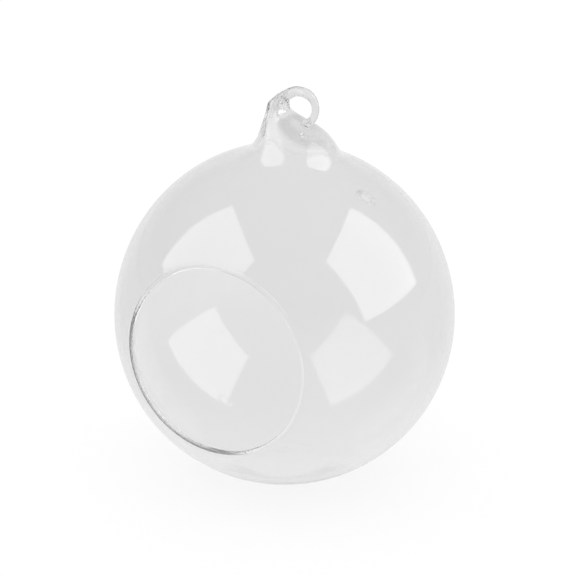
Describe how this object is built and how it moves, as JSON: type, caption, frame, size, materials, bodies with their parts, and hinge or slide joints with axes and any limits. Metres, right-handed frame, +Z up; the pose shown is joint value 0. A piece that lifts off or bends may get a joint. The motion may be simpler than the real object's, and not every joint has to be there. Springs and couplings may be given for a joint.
{
  "type": "glass globe terrarium",
  "caption": "Clear blown glass globe planter with a round side mouth, a small vent, a flat foot and a drawn glass hanging loop.",
  "frame": {"origin": "centre of the foot's flat underside", "axes": "+Z up through the globe and the hanging loop, the side mouth faces -Y, and the loop lies in the XZ plane with its tail towards +X"},
  "size_m": [0.1, 0.0917, 0.1186],
  "materials": {
    "clear_glass": "clear, smooth, fire-polished, with slight waves from blowing"
  },
  "bodies": {
    "root": {"globe_shell": "clear_glass", "mouth_rim": "clear_glass", "base_foot": "clear_glass", "neck_shoulder": "clear_glass", "hanging_loop": "clear_glass", "vent_rim": "clear_glass"}
  },
  "joints": []
}
